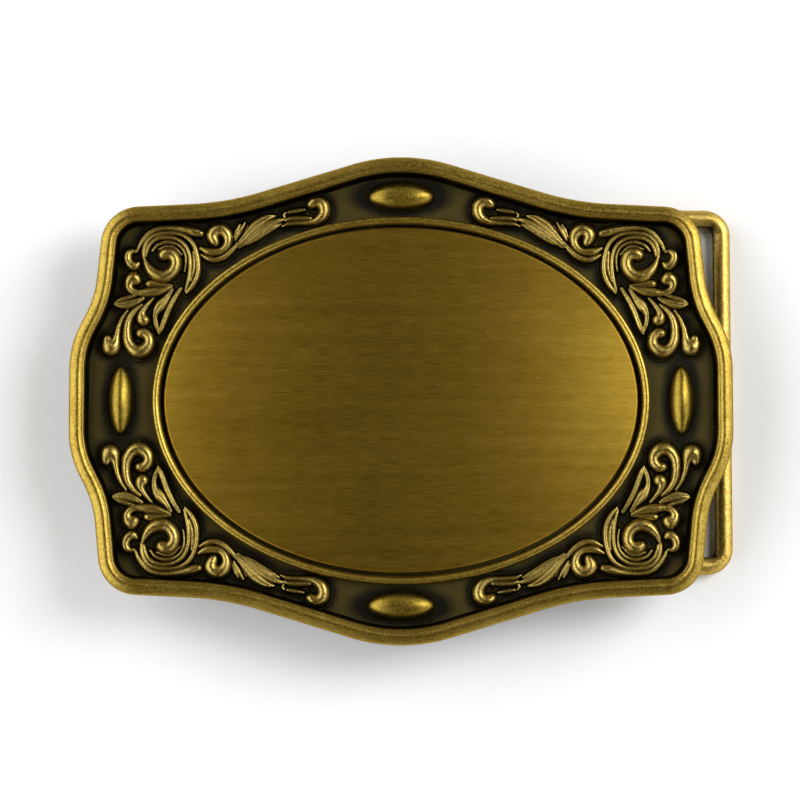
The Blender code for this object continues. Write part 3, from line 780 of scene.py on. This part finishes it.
def boss(node, point_share, flatness, material):
    """A smooth oval dome on a thin foot. point_share narrows its long axis's ends."""
    low, high = box_mm(node)
    centre, half = (low + high) / 2, (high - low) / 2
    turns = np.arange(BOSS_SIDES) * 2 * math.pi / BOSS_SIDES
    shares = np.sin(np.linspace(0.02, 1, BOSS_RINGS) * math.pi / 2)
    upright = half[1] > half[0]
    along = np.abs(np.sin(turns)) if upright else np.abs(np.cos(turns))
    narrow = 1 - point_share * along**3
    cos = np.cos(turns) * (narrow if upright else 1)
    sin = np.sin(turns) * (1 if upright else narrow)
    dome = high[2] - SEAT_Z - BOSS_FOOT_HEIGHT
    falls = [max(0.0, 1 - share**flatness) ** BOSS_ROUNDNESS for share in shares]
    heights = [BOSS_FOOT_HEIGHT + dome * fall for fall in falls]
    x = centre[0] + half[0] * shares[:, None] * cos
    y = centre[1] + half[1] * shares[:, None] * sin
    for out, share in BOSS_FOOT:
        x = np.concatenate([x, (centre[0] + (half[0] + out) * cos)[None]])
        y = np.concatenate([y, (centre[1] + (half[1] + out) * sin)[None]])
        heights.append(BOSS_FOOT_HEIGHT * share)
    z = np.array(heights)
    points = np.stack([x, y, np.broadcast_to(SEAT_Z + z[:, None], x.shape)], -1)
    wear_and_shade = smoothstep(BOSS_FOOT_HEIGHT - 0.02, BOSS_FOOT_HEIGHT + 0.12, z)
    wear_and_shade[-3] = BOSS_LIP_WEAR
    wear_and_shade = np.repeat(wear_and_shade, BOSS_SIDES)
    quads = grid_faces(len(z), BOSS_SIDES, False, True)
    caps = end_caps(len(z), BOSS_SIDES)
    mesh = mesh_of(node + "_dome", points.reshape(-1, 3), quads, wear_and_shade, caps)
    place(mesh, material, "boss_brass", PLATE, node)


def ornaments(material):
    """Each ornament, made once and mirrored to the four corners."""
    for kind, (strokes, web) in ORNAMENTS.items():
        first = ornament_mesh(kind, strokes, web)
        for corner, quarter in QUARTERS.items():
            mesh = mirrored(first, f"{kind}_{corner}_relief", quarter)
            place(mesh, material, "relief_brass", PLATE, f"{kind}_{corner}")


# ---------------------------------------------------------------- the fittings behind


def tube(route, radii, sides):
    """A closed tube through points, with a radius at each and flat ends."""
    route = np.array(route, float)
    radii = np.array(radii, float)
    ahead = np.gradient(route, axis=0)
    ahead /= np.linalg.norm(ahead, axis=1)[:, None]
    side = np.cross(ahead, route_plane(route))
    side /= np.linalg.norm(side, axis=1)[:, None]
    other = np.cross(ahead, side)
    turns = np.arange(sides) * 2 * math.pi / sides
    cos, sin = np.cos(turns)[None, :, None], np.sin(turns)[None, :, None]
    ring = side[:, None] * cos + other[:, None] * sin
    points = route[:, None] + ring * radii[:, None, None]
    quads = grid_faces(len(route), sides, False, True)
    return points.reshape(-1, 3), quads, end_caps(len(route), sides)


def route_plane(route):
    """The normal of the plane that a bent route lies in."""
    first = route[1] - route[0]
    for point in route[2:]:
        normal = np.cross(first, point - route[0])
        if np.linalg.norm(normal) > 1e-3:
            return normal / np.linalg.norm(normal)
    return np.array([0.0, 1.0, 0.0])


def arc(centre, radius, start_deg, end_deg, steps):
    """Points along part of a circle."""
    turns = np.radians(np.linspace(start_deg, end_deg, steps + 1))
    return np.stack([centre[0] + radius * np.cos(turns), centre[1] + radius * np.sin(turns)], 1)


WIRE_RADIUS = 1.2
WIRE_SIDES = 28
WIRE_END_Y = 15.6  # the ends of the wire, from the loop's middle
END_BEND, CORNER_BEND = 2.0, 2.4  # radii of the wire's middle line
WIRE_TIP_SHARES = (0.72, 0.9)  # the wire's radius at its very end and just behind it


def hinge_mm():
    """The middle of the bail's hinge."""
    return np.array(frame["joints"][0]["pos_m"]) / MM


def bail_loop(material):
    """The wire, with rounded ends, turned in on the hinge's axis."""
    low, high = box_mm("bail")
    middle_y = (low[1] + high[1]) / 2
    hinge = hinge_mm() + (0, middle_y, 0)
    arm_y = high[1] - middle_y - WIRE_RADIUS
    bar_x = high[0] - WIRE_RADIUS
    drop = hinge[2] - (low[2] + WIRE_RADIUS)
    droop = math.atan2(drop, bar_x - hinge[0])
    reach = math.hypot(drop, bar_x - hinge[0])
    tip = [(0.0, WIRE_END_Y + along) for along in (0.0, 0.08, 0.25, 1.5)]
    end_bend = arc((END_BEND, arm_y - END_BEND), END_BEND, 180, 90, 14)
    arm = np.linspace((END_BEND + 1, arm_y), (reach - CORNER_BEND - 1, arm_y), 8)
    corner = arc((reach - CORNER_BEND, arm_y - CORNER_BEND), CORNER_BEND, 90, 0, 14)
    upper = np.concatenate([tip, end_bend, arm, corner])
    bar_y = arm_y - CORNER_BEND - 2
    bar = np.linspace((reach, bar_y), (reach, -bar_y), 24)
    flat = np.concatenate([upper, bar, upper[::-1] * (1, -1)])
    radii = np.full(len(flat), WIRE_RADIUS)
    radii[[0, -1]] = WIRE_RADIUS * WIRE_TIP_SHARES[0]
    radii[[1, -2]] = WIRE_RADIUS * WIRE_TIP_SHARES[1]
    swing = np.array([[math.cos(droop), 0, -math.sin(droop)], [0, 1, 0]])
    route = hinge + flat @ swing
    points, quads, caps = tube(route, radii, WIRE_SIDES)
    # Points on the wire's inner side, facing the plate, get low values: painted shade for the narrow gap
    # between the wire and the plate.
    out = np.maximum(points[:, 0] - bar_x, np.abs(points[:, 1] - middle_y) - arm_y)
    out = np.maximum(out, hinge[0] - points[:, 0])
    wear_and_shade = 0.2 + 0.8 * smoothstep(-WIRE_RADIUS, -0.7 * WIRE_RADIUS, out)
    mesh = mesh_of("bail_wire", points, quads, wear_and_shade, caps)
    mesh.set_sharp_from_angle(angle=math.radians(50))
    place(mesh, material, "wire_brass", BAIL, "bail")


LUG_STEP = 0.3
LUG_BEVEL = 0.28
LUG_WEAR = 0.75
BORE_RADIUS, BORE_SIDES = 1.31, 40


def lug_outlines(radius, foot_half, top):
    """The ear's outline, round below and flared to its foot, and its bore, about the hinge."""
    tip = arc((0, 0), radius, 180, 360, 24)
    neck = smooth_line([
        (radius, top * 0.3),
        (radius + 0.15, top * 0.55),
        (foot_half * 0.82, top * 0.8),
        (foot_half, top * 0.93),
        (foot_half, top),
    ], LUG_STEP)
    ear = np.concatenate([tip, neck, (neck * (-1, 1))[::-1]])
    bore = arc((0, 0), BORE_RADIUS, 180, 540, BORE_SIDES)[:-1]
    return ear, bore


def bevelled_slab(name, outlines, thickness, middle):
    """A mesh of flat outlines, stood upright across Y, with rounded edges."""
    curve = bpy.data.curves.new(name, "CURVE")
    curve.dimensions = "2D"
    curve.fill_mode = "BOTH"
    curve.extrude = (thickness / 2 - LUG_BEVEL) * MM
    curve.bevel_depth = LUG_BEVEL * MM
    curve.bevel_resolution = 3
    curve.offset = -LUG_BEVEL * MM
    for loop in outlines:
        spline = curve.splines.new("POLY")
        spline.points.add(len(loop) - 1)
        flat = np.zeros((len(loop), 4))
        flat[:, :2] = loop * MM
        spline.points.foreach_set("co", flat.ravel())
        spline.use_cyclic_u = True
    guide = bpy.data.objects.new(name + "_guide", curve)
    bpy.context.scene.collection.objects.link(guide)
    guide.rotation_euler.x = math.pi / 2
    guide.location = [value * MM for value in middle]
    bpy.context.view_layer.update()
    graph = bpy.context.evaluated_depsgraph_get()
    mesh = bpy.data.meshes.new_from_object(guide.evaluated_get(graph))
    mesh.transform(guide.matrix_world)
    bpy.data.objects.remove(guide)
    return mesh


def bail_lug(node, material):
    """An ear with a round bore, softened edges and a flared foot."""
    low, high = box_mm(node)
    hinge = hinge_mm()
    outlines = lug_outlines(hinge[2] - low[2], (high[0] - low[0]) / 2, high[2] - hinge[2])
    middle = (hinge[0], (low[1] + high[1]) / 2, hinge[2])
    mesh = bevelled_slab(node, outlines, high[1] - low[1], middle)
    mesh.name = node + "_ear"
    work = bmesh.new()
    work.from_mesh(mesh)
    bmesh.ops.remove_doubles(work, verts=work.verts, dist=1e-6)
    work.to_mesh(mesh)
    work.free()
    turn_out(mesh)
    layer = mesh.attributes.new("wear_and_shade", "FLOAT", "POINT")
    layer.data.foreach_set("value", np.full(len(mesh.vertices), LUG_WEAR, np.float32))
    mesh.set_sharp_from_angle(angle=math.radians(40))
    place(mesh, material, "fitting_brass", PLATE, node)


HOOK_SIDES = 36
HOOK_PIN, HOOK_HEAD = 1.5, 2.1  # radii
HOOK_LEAN_DEG = 24
HOOK_BEND = 3.5  # radius of the bend
HOOK_BEND_DEPTH = 1.45  # where the bend starts, under the foot's top
HOOK_FOOT = ((0.0, -0.15), (0.12, 0.0), (0.5, 0.0), (0.72, -0.12), (0.85, -0.45))
HOOK_FILLET = ((0.9, 0.75), (1.02, 0.3), (1.2, 0.08))


def hook_profile(top, bottom, foot_radius):
    """Offset towards the bail, height and radius, from the foot's top to the head's tip."""
    lean = math.radians(HOOK_LEAN_DEG)
    profile = [(0, top - depth, foot_radius + wider) for depth, wider in HOOK_FOOT]
    profile += [(0, top - depth, HOOK_PIN + wider) for depth, wider in HOOK_FILLET]
    for share in np.linspace(0, 1, 9):
        x = HOOK_BEND * (1 - math.cos(share * lean))
        z = top - HOOK_BEND_DEPTH - HOOK_BEND * math.sin(share * lean)
        profile.append((x, z, HOOK_PIN))
    bend_x, last_z, _ = profile[-1]
    head_z = bottom + HOOK_HEAD
    head_x = bend_x + (last_z - head_z) * math.tan(lean)
    for latitude in np.radians(np.linspace(-43, 86, 18)):
        along = HOOK_HEAD * math.sin(latitude)
        x = head_x + along * math.sin(lean)
        profile.append((x, head_z - along * math.cos(lean), HOOK_HEAD * math.cos(latitude)))
    return np.array(profile, float)


def hook_stud(material):
    """The pin on its round foot, leaning towards the bail, with a bulb for a head."""
    low, high = box_mm("hook_stud")
    foot_radius = (high[1] - low[1]) / 2
    profile = hook_profile(high[2], low[2], foot_radius)
    along = low[0] + foot_radius + profile[:, 0]
    route = np.stack([along, np.zeros(len(profile)), profile[:, 1]], 1)
    points, quads, caps = tube(route, profile[:, 2], HOOK_SIDES)
    wear_and_shade = smoothstep(high[2] - 0.4, high[2] - 2.4, profile[:, 1]) * 0.6 + 0.35
    mesh = mesh_of("hook_stud_pin", points, quads, np.repeat(wear_and_shade, HOOK_SIDES), caps)
    mesh.set_sharp_from_angle(angle=math.radians(50))
    place(mesh, material, "fitting_brass", PLATE, "hook_stud")


# ---------------------------------------------------------------- floor, lights and camera


def paper_floor():
    """Plain pale paper just under the lowest piece."""
    low = cad_box[0]
    bpy.ops.mesh.primitive_plane_add(size=4.0, location=(0, 0, low.z - 0.00002))
    floor = bpy.context.object
    floor.name = "paper_floor"
    nodes = Nodes("white_paper")
    tone = nodes.mix(nodes.noise(0.5, 4), (0.915, 0.925, 0.945), (0.93, 0.94, 0.96))
    nodes.join(tone, nodes.shader.inputs["Base Color"])
    nodes.join(0.8, nodes.shader.inputs["Roughness"])
    nodes.join(nodes.bump(nodes.noise(2.0, 3), 0.01), nodes.shader.inputs["Normal"])
    floor.data.materials.append(nodes.material)


def softbox(name, place_m, size_m, power):
    """A soft rectangular lamp that faces the object."""
    light = bpy.data.lights.new(name, "AREA")
    light.shape = "RECTANGLE"
    light.size, light.size_y = size_m
    light.energy = power
    lamp = bpy.data.objects.new(name, light)
    bpy.context.scene.collection.objects.link(lamp)
    lamp.location = place_m
    lamp.rotation_euler = (-Vector(place_m)).to_track_quat("-Z", "Y").to_euler()


TENT_RAMPS = (  # direction, its range, and the brightness at both ends
    ("up", 0.35, 0.97, 1.0, 0.1),
    ("aside", 0.1, 0.8, 0.25, 1.7),
    ("right", -0.9, 0.0, 0.7, 1.0),
)
DIM_TINT, BRIGHT_TINT = (1.0, 0.7, 0.14, 1), (0.97, 0.98, 1.0, 1)
WHITE_FROM = 0.6  # brightness at which the tent has lost its warm tint


def tent():
    """Surroundings: white and bright at both sides, dim and warm between, darkest overhead."""
    world = bpy.data.worlds.new("tent")
    bpy.context.scene.world = world
    world.use_nodes = True
    tree = world.node_tree
    where = tree.nodes.new("ShaderNodeTexCoord")
    split = tree.nodes.new("ShaderNodeSeparateXYZ")
    tree.links.new(where.outputs["Generated"], split.inputs["Vector"])
    aside = tree.nodes.new("ShaderNodeMath")
    aside.operation = "ABSOLUTE"
    tree.links.new(split.outputs["X"], aside.inputs[0])
    directions = {
        "up": split.outputs["Z"],
        "aside": aside.outputs["Value"],
        "right": split.outputs["X"],
    }
    strength = None
    for direction, low, high, at_low, at_high in TENT_RAMPS:
        ramp = tree.nodes.new("ShaderNodeMapRange")
        ramp.interpolation_type = "SMOOTHSTEP"
        values = {"From Min": low, "From Max": high, "To Min": at_low, "To Max": at_high}
        for key, value in values.items():
            ramp.inputs[key].default_value = value
        tree.links.new(directions[direction], ramp.inputs["Value"])
        if strength is None:
            strength = ramp.outputs["Result"]
            continue
        product = tree.nodes.new("ShaderNodeMath")
        product.operation = "MULTIPLY"
        tree.links.new(strength, product.inputs[0])
        tree.links.new(ramp.outputs["Result"], product.inputs[1])
        strength = product.outputs["Value"]
    tint = tree.nodes.new("ShaderNodeMix")
    tint.data_type = "RGBA"
    tint.inputs["A"].default_value = DIM_TINT
    tint.inputs["B"].default_value = BRIGHT_TINT
    bright = tree.nodes.new("ShaderNodeMapRange")
    bright.inputs["From Max"].default_value = WHITE_FROM
    tree.links.new(strength, bright.inputs["Value"])
    tree.links.new(bright.outputs["Result"], tint.inputs["Factor"])
    background = tree.nodes["Background"]
    tree.links.new(tint.outputs["Result"], background.inputs["Color"])
    tree.links.new(strength, background.inputs["Strength"])


def studio():
    """A small key lamp at the right and a large soft one at the left, inside the tent."""
    tent()
    softbox("key_right", place_m=(0.37, 0.16, 0.365), size_m=(0.24, 0.38), power=1.9)
    softbox("fill_left", place_m=(-0.62, 0.05, 0.38), size_m=(1.4, 0.9), power=6.5)
    bpy.context.scene.view_settings.view_transform = "Standard"


CAMERA_DISTANCE = 0.40
CAMERA_TILT_DEG = 5.0
VIEW_WIDTH = 0.1087
VIEW_MIDDLE = (-0.00014, 0.00004, SEAT_Z * MM)


def camera():
    """The camera over the plate, a little below its middle, looking at VIEW_MIDDLE."""
    lens = bpy.data.cameras.new("camera")
    lens.sensor_width = 36.0
    lens.lens = lens.sensor_width * CAMERA_DISTANCE / VIEW_WIDTH
    lens.clip_start, lens.clip_end = 0.01, 10.0
    eye = bpy.data.objects.new("camera", lens)
    bpy.context.scene.collection.objects.link(eye)
    tilt = math.radians(CAMERA_TILT_DEG)
    eye.location = Vector(VIEW_MIDDLE) + Vector((0, -math.sin(tilt), math.cos(tilt))) * CAMERA_DISTANCE
    eye.rotation_euler = (tilt, 0, 0)
    bpy.context.scene.camera = eye


BRASSES = {  # how each kind of piece is finished
    "rim": dict(brass=(0.4, 0.285, 0.055), shine=0.33, grain=0.035, lacquer=0.03),
    "bezel": dict(brass=(0.46, 0.33, 0.06), shine=0.36, lacquer=0.05),
    "relief": dict(brass=(0.43, 0.325, 0.09), shine=0.31, grain=0.03, lacquer=0.05),
    "boss": dict(brass=(0.34, 0.245, 0.038), shine=0.38, blotch=0.1, lacquer=0.03),
    "wire": dict(brass=(0.66, 0.47, 0.12), shine=0.36, grain=0.04, blotch=0.12, lacquer=0.1),
    "fitting": dict(brass=(0.42, 0.32, 0.09), shine=0.38),
}
BOSSES = {  # how far the ends are narrowed, and how flat the dome is
    "boss_top": (0.0, 2.8),
    "boss_bottom": (0.0, 2.8),
    "boss_left": (0.12, 1.8),
    "boss_right": (0.12, 1.8),
}


def build():
    """All the pieces."""
    path = outline()
    brass = {kind: antique_brass(kind + "_brass", **look) for kind, look in BRASSES.items()}
    base_plate(path, ground_patina())
    rim_and_bezel(path, brass["rim"], brass["bezel"])
    centre_plate(brushed_brass())
    for node, (point_share, flatness) in BOSSES.items():
        boss(node, point_share, flatness, brass["boss"])
    ornaments(brass["relief"])
    bail_loop(brass["wire"])
    for node in ("bail_lug_upper", "bail_lug_lower"):
        bail_lug(node, brass["fitting"])
    hook_stud(brass["fitting"])


camera()
paper_floor()
studio()
build()
